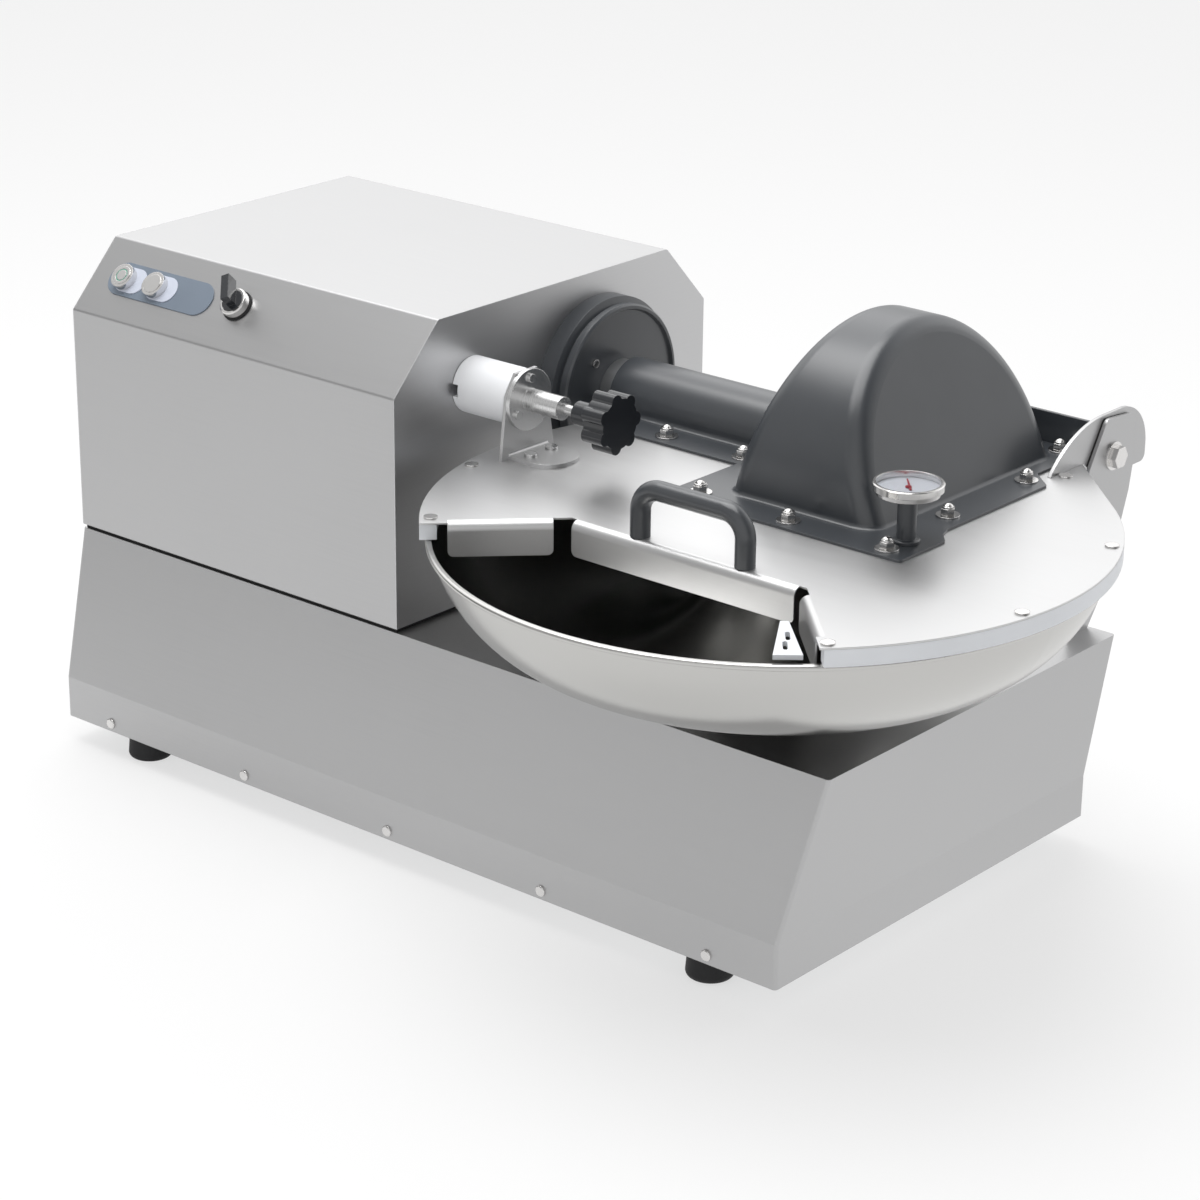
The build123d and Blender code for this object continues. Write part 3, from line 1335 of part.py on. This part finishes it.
with BuildPart() as hinge_crossbar:
    extrude(rect_xy(bowl_x - arm_out, bowl_x + arm_out, bowl_y + rear_panel_y,
                    bowl_y + rear_panel_y + rear_panel_t, top_z), amount=rear_panel_h)
    fillet(hinge_crossbar.edges().filter_by(Axis.X).group_by(Axis.Z)[-1], rear_panel_t / 4)
finish(hinge_crossbar, "hinge_crossbar")

# ---------------------------------------------------------------------------
# Cable gland on the housing's rear wall
# ---------------------------------------------------------------------------
gland_x = left + 120.0
gland_z = house_z0 + 60.0
with BuildPart() as cable_gland:
    with BuildSketch(Plane.XZ.offset(-house_y1)) as hex_nut:
        with Locations((gland_x, gland_z)):
            RegularPolygon(15.0, 6)
    extrude(hex_nut.sketch, amount=-6.0)
    with BuildSketch(Plane.XZ.offset(-house_y1 - 6.0)) as dome_nut:
        with Locations((gland_x, gland_z)):
            Circle(12.5)
    extrude(dome_nut.sketch, amount=-14.0)
    with BuildSketch(Plane.XZ.offset(-house_y1 - 20.0)) as mouth:
        with Locations((gland_x, gland_z)):
            Circle(5.5)
    extrude(mouth.sketch, amount=20.0, mode=Mode.SUBTRACT)
finish(cable_gland, "cable_gland")
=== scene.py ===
import bpy
import bmesh
import json
import math
from mathutils import Matrix, Vector


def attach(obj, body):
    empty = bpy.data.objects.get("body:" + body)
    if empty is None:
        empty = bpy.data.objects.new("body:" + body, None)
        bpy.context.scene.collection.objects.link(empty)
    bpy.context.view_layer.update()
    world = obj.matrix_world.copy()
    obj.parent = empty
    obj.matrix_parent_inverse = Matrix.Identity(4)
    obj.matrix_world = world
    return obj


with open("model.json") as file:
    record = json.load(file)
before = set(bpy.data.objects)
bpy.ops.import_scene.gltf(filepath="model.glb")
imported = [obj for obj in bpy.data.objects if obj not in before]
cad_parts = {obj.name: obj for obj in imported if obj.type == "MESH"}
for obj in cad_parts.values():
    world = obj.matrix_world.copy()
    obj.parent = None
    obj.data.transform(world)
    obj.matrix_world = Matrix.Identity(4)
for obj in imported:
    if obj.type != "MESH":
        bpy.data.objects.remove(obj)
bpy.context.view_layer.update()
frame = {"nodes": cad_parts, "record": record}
nodes = frame["nodes"]
scene = bpy.context.scene
scene.view_settings.view_transform = "Standard"


# ---------------------------------------------------------------- shader nodes
EDGE_ROUND = 0.0009     # radius of the rounded edges in metres, in the shading only
EDGE_SAMPLES = 4


def feed(tree, value, socket):
    """Links an output to a socket, or sets the socket to a constant."""
    if isinstance(value, bpy.types.NodeSocket):
        tree.links.new(value, socket)
    else:
        socket.default_value = value


def compute(tree, kind, operation, *values):
    """A Math or VectorMath node on sockets or constants."""
    node = tree.nodes.new(kind)
    node.operation = operation
    for value, socket in zip(values, node.inputs):
        feed(tree, value, socket)
    return node


def remap(tree, value, lo, hi, start=0.0, end=1.0, smooth=False):
    """Maps start..end to lo..hi, and holds the ends."""
    node = tree.nodes.new("ShaderNodeMapRange")
    node.interpolation_type = "SMOOTHSTEP" if smooth else "LINEAR"
    node.inputs["From Min"].default_value = start
    node.inputs["From Max"].default_value = end
    feed(tree, lo, node.inputs["To Min"])
    feed(tree, hi, node.inputs["To Max"])
    tree.links.new(value, node.inputs["Value"])
    return node.outputs[0]


def coords(tree, scale=(1, 1, 1), space="Object"):
    """Texture coordinates, stretched by a scale for each axis."""
    source = tree.nodes.new("ShaderNodeTexCoord")
    mapping = tree.nodes.new("ShaderNodeMapping")
    mapping.inputs["Scale"].default_value = scale
    tree.links.new(source.outputs[space], mapping.inputs["Vector"])
    return mapping.outputs[0]


def noise(tree, vec, scale, detail, rough):
    node = tree.nodes.new("ShaderNodeTexNoise")
    node.inputs["Scale"].default_value = scale
    node.inputs["Detail"].default_value = detail
    node.inputs["Roughness"].default_value = rough
    tree.links.new(vec, node.inputs["Vector"])
    return node.outputs[0]


def shade_between(tree, value, start, end, colour, vary):
    """A colour that goes from darker to lighter by the share vary, as value goes start..end."""
    node = tree.nodes.new("ShaderNodeValToRGB")
    stops = ((start, 1 - vary), (end, 1 + vary))
    for stop, (position, level) in zip(node.color_ramp.elements, stops):
        stop.position = position
        stop.color = (*(min(1.0, channel * level) for channel in colour), 1)
    tree.links.new(value, node.inputs[0])
    return node.outputs[0]


def bump(tree, shader, height, strength, distance):
    """A fine relief on top of the rounded edges."""
    edge = tree.nodes.new("ShaderNodeBevel")
    edge.samples = EDGE_SAMPLES
    edge.inputs["Radius"].default_value = EDGE_ROUND
    relief = tree.nodes.new("ShaderNodeBump")
    relief.inputs["Strength"].default_value = strength
    relief.inputs["Distance"].default_value = distance
    tree.links.new(edge.outputs[0], relief.inputs["Normal"])
    tree.links.new(height, relief.inputs["Height"])
    tree.links.new(relief.outputs[0], shader.inputs["Normal"])


# ---------------------------------------------------------------- materials
# the scale, detail and roughness of each noise; a plastic's fine noise has its grain for a scale
STEEL_FINE = (2.2, 5.0, 0.6)
STEEL_BROAD = (3.1, 3.0, 0.5)
PLASTIC_FINE = (3.0, 0.55)
PLASTIC_BROAD = (9.0, 3.0, 0.5)
LENS_HAZE = (30.0, 2.0, 0.5)

# where a noise takes the colour from dark to light: steel's two noises are added, and what they
# give from 0 to 1 is moved to this span first
STEEL_TONE = (-0.5, 0.5)
PLASTIC_TONE = (0.3, 0.7)

# how far a roughness varies below and above its value, and the lens's lowest and highest
STEEL_ROUGH = (0.05, 0.06)
PLASTIC_ROUGH = (0.04, 0.05)
LENS_ROUGH = (0.01, 0.03)

# the distance of the fine relief, in metres
STEEL_RELIEF = 0.0004
PLASTIC_RELIEF = 0.0002

LENS_IOR = 1.08         # a thin flat lens barely bends what is behind it


def new_material(name):
    """A material with one Principled shader: the material, its node tree and the shader."""
    mat = bpy.data.materials.new(name)
    mat.use_nodes = True
    tree = mat.node_tree
    tree.nodes.clear()
    out = tree.nodes.new("ShaderNodeOutputMaterial")
    shader = tree.nodes.new("ShaderNodeBsdfPrincipled")
    tree.links.new(shader.outputs[0], out.inputs[0])
    return mat, tree, shader


def steel(name, colour, rough, grain=(3, 260, 260), depth=0.05, vary=0.05):
    """Sheet or turned metal with a fine grain along one direction."""
    mat, tree, shader = new_material(name)
    below, above = STEEL_ROUGH
    fine = noise(tree, coords(tree, grain), *STEEL_FINE)
    broad = noise(tree, coords(tree), *STEEL_BROAD)
    both = compute(tree, "ShaderNodeMath", "ADD", fine, broad).outputs[0]
    tone = shade_between(tree, remap(tree, both, *STEEL_TONE), 0.0, 1.0, colour, vary)
    tree.links.new(tone, shader.inputs["Base Color"])
    tree.links.new(remap(tree, fine, rough - below, rough + above), shader.inputs["Roughness"])
    shader.inputs["Metallic"].default_value = 1.0
    bump(tree, shader, fine, depth, STEEL_RELIEF)
    return mat


def plastic(name, colour, rough, spec=0.5, grain=900.0, depth=0.05, vary=0.12):
    """Moulded plastic with a fine skin texture."""
    mat, tree, shader = new_material(name)
    below, above = PLASTIC_ROUGH
    vec = coords(tree)
    fine = noise(tree, vec, grain, *PLASTIC_FINE)
    broad = noise(tree, vec, *PLASTIC_BROAD)
    tone = shade_between(tree, broad, *PLASTIC_TONE, colour, vary)
    tree.links.new(tone, shader.inputs["Base Color"])
    tree.links.new(remap(tree, broad, rough - below, rough + above), shader.inputs["Roughness"])
    shader.inputs["Specular IOR Level"].default_value = spec
    bump(tree, shader, fine, depth, PLASTIC_RELIEF)
    return mat


def lens(name):
    """A clear lens, with a roughness that varies a little."""
    mat, tree, shader = new_material(name)
    haze = noise(tree, coords(tree, space="Generated"), *LENS_HAZE)
    tree.links.new(remap(tree, haze, *LENS_ROUGH), shader.inputs["Roughness"])
    shader.inputs["Transmission Weight"].default_value = 1.0
    shader.inputs["IOR"].default_value = LENS_IOR
    return mat


casing = steel("casing_steel", (0.485, 0.485, 0.488), 0.37, grain=(4, 300, 300))
# the end panels are the casing's steel made lighter: painted light, for the stronger light that falls on
# the end walls from the right
ends = steel("end_steel_painted_light", (0.56, 0.56, 0.565), 0.38, grain=(300, 4, 300))
lid = steel("lid_steel", (0.62, 0.62, 0.622), 0.40, grain=(5, 260, 260), depth=0.04)
bowl = steel("bowl_steel", (0.55, 0.545, 0.53), 0.24, grain=(60, 60, 900), depth=0.04, vary=0.04)
zinc = steel("zinc_steel", (0.50, 0.51, 0.52), 0.42, grain=(40, 40, 40))
bright = steel("bright_steel", (0.72, 0.71, 0.70), 0.16, grain=(80, 80, 80), depth=0.02)
shaft = steel("shaft_steel", (0.60, 0.60, 0.60), 0.25, grain=(900, 30, 30))
blade = steel("blade_steel", (0.66, 0.66, 0.66), 0.22, grain=(20, 400, 60))
alu = steel("turned_aluminium", (0.74, 0.74, 0.74), 0.26, grain=(700, 25, 25))
iron = steel("machined_iron", (0.16, 0.16, 0.165), 0.45, grain=(50, 50, 50))
paint = plastic("motor_paint", (0.13, 0.20, 0.30), 0.35, grain=300.0, depth=0.08)
rubber = plastic("black_rubber", (0.018, 0.018, 0.019), 0.62, spec=0.35, grain=700.0, depth=0.2)
black = plastic("black_moulding", (0.045, 0.050, 0.057), 0.30, spec=0.9, grain=1100.0, depth=0.06)
gloss = plastic("black_gloss", (0.018, 0.020, 0.024), 0.18, spec=0.7, grain=500.0, depth=0.02)
panel = plastic("panel_grey", (0.185, 0.225, 0.28), 0.42, spec=0.45, depth=0.03)
legend = plastic("legend_pale", (0.62, 0.66, 0.76), 0.40, spec=0.4, depth=0.02, vary=0.04)
white = plastic("white_plastic", (0.78, 0.80, 0.83), 0.42, spec=0.45, grain=700.0, depth=0.04, vary=0.04)
nylon = plastic("milky_nylon", (0.90, 0.91, 0.93), 0.38, spec=0.45, grain=400.0, vary=0.05)
dial = plastic("dial_white", (0.78, 0.81, 0.88), 0.5, spec=0.3, depth=0.01, vary=0.02)
red = plastic("needle_red", (0.52, 0.05, 0.07), 0.45, spec=0.4, depth=0.01)
green = plastic("ring_green", (0.16, 0.46, 0.34), 0.35, depth=0.02)
glass = lens("lens_glass")

LOOK = [
    (casing, "base_shell motor_housing hinge_arms hinge_brackets"),
    (ends, "housing_ends"),
    (lid, "lid_plate interlock_bracket"),
    (bowl, "bowl"),
    (zinc, "floor_plate bearing_tube shaft_support bowl_spindle motor_rotor shaft_bearings"),
    (bright, "skirt_screws drum_screws cover_washers cover_nuts lid_screws hinge_bolts bowl_nut "
             "button_bezels stop_button start_button selector_ring thermometer_case"),
    (shaft, "knife_shaft knife_spacers knife_nut lock_rod"),
    (blade, "knives"),
    (alu, "interlock_flange interlock_screws"),
    (iron, "shaft_pulley motor_pulley spindle_column"),
    (paint, "main_motor bowl_gearmotor"),
    (rubber, "rubber_feet housing_seal selector_gasket drive_belt"),
    (black, "shaft_drum knife_cover lid_handle thermometer_stem hinge_crossbar cable_gland"),
    (gloss, "lock_knob selector_knob contact_blocks"),
    (panel, "control_plate"),
    (legend, "legend_plates"),
    (white, "lid_ring bowl_scraper"),
    (nylon, "interlock_drum"),
    (dial, "thermometer_dial"),
    (red, "thermometer_needle"),
    (glass, "thermometer_lens"),
]
for material, names in LOOK:
    for name in names.split():
        slots = nodes[name].data.materials
        slots.clear()
        slots.append(material)


# ---------------------------------------------------------------- the green ring
# lit ring round the start button's face, in metres
RING_R_IN = 0.00625
RING_R_OUT = 0.00755
RING_DEPTH = 0.0011
RING_SUNK = 0.0003      # how far its face lies below the button's
RING_LIP_SHARE = 0.25   # each bevelled lip's share of the ring's width
RING_SEGMENTS = 64
FACE_TOLERANCE = 1e-5


def outer_centre(name, away):
    """The centre of a node's face that looks away from the panel."""
    points = [vertex.co for vertex in nodes[name].data.vertices]
    top = max(point.dot(away) for point in points)
    face = [point for point in points if point.dot(away) > top - FACE_TOLERANCE]
    low = Vector([min(point[i] for point in face) for i in range(3)])
    high = Vector([max(point[i] for point in face) for i in range(3)])
    return (low + high) / 2


def ring_piece(name, centre, axis, r_in, r_out, depth, material):
    """A flat ring with bevelled lips, its outer face at centre."""
    lip = RING_LIP_SHARE * (r_out - r_in)
    profile = [
        (r_in, -depth),
        (r_in, -lip),
        (r_in + lip, 0.0),
        (r_out - lip, 0.0),
        (r_out, -lip),
        (r_out, -depth),
    ]
    corners = len(profile)
    side = axis.orthogonal().normalized()
    cross = axis.cross(side)
    verts = []
    faces = []
    for i in range(RING_SEGMENTS):
        angle = 2 * math.pi * i / RING_SEGMENTS
        out = math.cos(angle) * side + math.sin(angle) * cross
        verts += [centre + r * out + h * axis for r, h in profile]
        here = i * corners
        after = (i + 1) % RING_SEGMENTS * corners
        for k in range(corners):
            m = (k + 1) % corners
            faces.append((here + k, after + k, after + m, here + m))
    mesh = bpy.data.meshes.new(name)
    mesh.from_pydata([tuple(v) for v in verts], [], faces)
    mesh.materials.append(material)
    form = bmesh.new()
    form.from_mesh(mesh)
    bmesh.ops.recalc_face_normals(form, faces=form.faces)
    form.to_mesh(mesh)
    form.free()
    piece = bpy.data.objects.new(name, mesh)
    scene.collection.objects.link(piece)
    return piece


press = next(j for j in frame["record"]["behaviour"]["joints"] if j["name"] == "start_press")
panel_out = -Vector(press["axis"]).normalized()
ring_centre = outer_centre("start_button", panel_out) - RING_SUNK * panel_out
light_ring = ring_piece("start_light_ring", ring_centre, panel_out,
                        RING_R_IN, RING_R_OUT, RING_DEPTH, green)
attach(light_ring, "start_cap")


# ---------------------------------------------------------------- floor
FLOOR_HALF = 60.0
FLOOR_COLOUR = (0.90, 0.90, 0.90, 1)

# The share of its own white light that a ray sees on the floor. The camera sees part of it, so that
# the floor is pale and keeps the shadow. Reflections see less at the front left than at the back
# right, by how far the point lies along TO_BACK_RIGHT and from the middle, in metres.
CAMERA_SHARE = 0.62
GLOSS_NEAR = 0.42       # at the front left, close to the object
GLOSS_NEAR_OUT = 0.75   # at the front left, far out
GLOSS_FAR = 1.0         # at the back right
NEAR_REACH = (1.5, 4.0)
TO_BACK_RIGHT = (0.643, 0.766, 0.0)
BACK_RIGHT_SPAN = (-0.6, 0.4)


def floor_material(name):
    """A matt floor that also lights itself, by a share that depends on the ray."""
    mat = bpy.data.materials.new(name)
    mat.use_nodes = True
    tree = mat.node_tree
    tree.nodes.clear()
    place = tree.nodes.new("ShaderNodeNewGeometry").outputs["Position"]
    reach = compute(tree, "ShaderNodeVectorMath", "LENGTH", place).outputs["Value"]
    near = remap(tree, reach, GLOSS_NEAR, GLOSS_NEAR_OUT, *NEAR_REACH, smooth=True)
    along = compute(tree, "ShaderNodeVectorMath", "DOT_PRODUCT", place, TO_BACK_RIGHT)
    gloss_share = remap(tree, along.outputs["Value"], near, GLOSS_FAR, *BACK_RIGHT_SPAN, smooth=True)
    ray = tree.nodes.new("ShaderNodeLightPath").outputs
    mirrored = compute(tree, "ShaderNodeMath", "MAXIMUM",
                       ray["Is Glossy Ray"], ray["Is Transmission Ray"]).outputs[0]
    mirrored_share = compute(tree, "ShaderNodeMath", "MULTIPLY", mirrored, gloss_share).outputs[0]
    share = compute(tree, "ShaderNodeMath", "MULTIPLY_ADD",
                    ray["Is Camera Ray"], CAMERA_SHARE, mirrored_share).outputs[0]
    matt = tree.nodes.new("ShaderNodeBsdfDiffuse")
    matt.inputs["Color"].default_value = FLOOR_COLOUR
    own_light = tree.nodes.new("ShaderNodeEmission")
    own_light.inputs["Strength"].default_value = 1.0
    mix = tree.nodes.new("ShaderNodeMixShader")
    out = tree.nodes.new("ShaderNodeOutputMaterial")
    tree.links.new(share, mix.inputs[0])
    tree.links.new(matt.outputs[0], mix.inputs[1])
    tree.links.new(own_light.outputs[0], mix.inputs[2])
    tree.links.new(mix.outputs[0], out.inputs[0])
    return mat


floor_mesh = bpy.data.meshes.new("studio_floor")
floor_mesh.from_pydata([(-FLOOR_HALF, -FLOOR_HALF, 0), (FLOOR_HALF, -FLOOR_HALF, 0),
                        (FLOOR_HALF, FLOOR_HALF, 0), (-FLOOR_HALF, FLOOR_HALF, 0)],
                       [], [(0, 1, 2, 3)])
floor_mesh.materials.append(floor_material("studio_floor"))
floor = bpy.data.objects.new("studio_floor", floor_mesh)
scene.collection.objects.link(floor)


# ---------------------------------------------------------------- light
# the room's light, plain and with a few wide glows: (towards, width of the glow, strength)
ROOM_BASE = 0.08
ROOM_GLOWS = [
    ((-0.15, 0.95, 0.35), 0.45, 0.85),
    ((0.55, 0.78, 0.30), 0.45, 0.62),
    ((0.45, -0.85, 0.25), 0.50, 0.75),
    ((-0.75, 0.35, 0.75), 0.30, 1.60),
    ((-0.60, -0.68, 0.42), 0.16, 0.50),
]

# one broad softbox above
SOFTBOX_AT = (-0.4, -0.2, 3.4)
SOFTBOX_AIM = (0, 0, 0.3)
SOFTBOX_SIDE = 2.6
SOFTBOX_WATTS = 78


def room_light():
    """The world, with a light that depends on the direction."""
    world = bpy.data.worlds.new("studio_world")
    world.use_nodes = True
    tree = world.node_tree
    tree.nodes.clear()
    way = tree.nodes.new("ShaderNodeTexCoord").outputs["Generated"]
    total = ROOM_BASE
    for towards, width, strength in ROOM_GLOWS:
        aim = Vector(towards).normalized()
        near = compute(tree, "ShaderNodeVectorMath", "DOT_PRODUCT", way, aim).outputs["Value"]
        glow = remap(tree, near, 0.0, strength, 1.0 - width, 1.0, smooth=True)
        total = compute(tree, "ShaderNodeMath", "ADD", glow, total).outputs[0]
    background = tree.nodes.new("ShaderNodeBackground")
    background.inputs["Color"].default_value = (1, 1, 1, 1)
    out = tree.nodes.new("ShaderNodeOutputWorld")
    tree.links.new(total, background.inputs["Strength"])
    tree.links.new(background.outputs[0], out.inputs[0])
    return world


def softbox(name, at, aim, side, watts):
    """A square area light that faces a point."""
    light = bpy.data.lights.new(name, "AREA")
    light.shape = "RECTANGLE"
    light.size = side
    light.size_y = side
    light.energy = watts
    lamp = bpy.data.objects.new(name, light)
    scene.collection.objects.link(lamp)
    lamp.location = at
    lamp.rotation_euler = (Vector(aim) - Vector(at)).to_track_quat("-Z", "Y").to_euler()


scene.world = room_light()
softbox("softbox_top", SOFTBOX_AT, SOFTBOX_AIM, SOFTBOX_SIDE, SOFTBOX_WATTS)


# ---------------------------------------------------------------- camera
# solved from the photograph's straight edges and the bowl's rim; metres and radians
CAMERA_AT = (2.118945, -2.519237, 1.531687)
AZIMUTH = math.radians(40.168)
ELEVATION = math.radians(21.172)
ROLL = 0.01077
FOCAL_IN_PIXELS = 3395.624
PHOTO_WIDTH = 1200.0
SENSOR_WIDTH = 36.0
CLIP_END = 200.0

back = Vector((math.sin(AZIMUTH) * math.cos(ELEVATION),
               -math.cos(AZIMUTH) * math.cos(ELEVATION),
               math.sin(ELEVATION)))
level = Vector((math.cos(AZIMUTH), math.sin(AZIMUTH), 0.0))
rise = back.cross(level)
right = math.cos(ROLL) * level + math.sin(ROLL) * rise
up = math.cos(ROLL) * rise - math.sin(ROLL) * level
camera_data = bpy.data.cameras.new("photo_camera")
camera_data.sensor_width = SENSOR_WIDTH
camera_data.lens = FOCAL_IN_PIXELS / PHOTO_WIDTH * SENSOR_WIDTH
camera_data.clip_end = CLIP_END
camera = bpy.data.objects.new("photo_camera", camera_data)
scene.collection.objects.link(camera)
camera.matrix_world = Matrix([(*axes, at) for *axes, at in zip(right, up, back, CAMERA_AT)]
                             + [(0, 0, 0, 1)])
scene.camera = camera
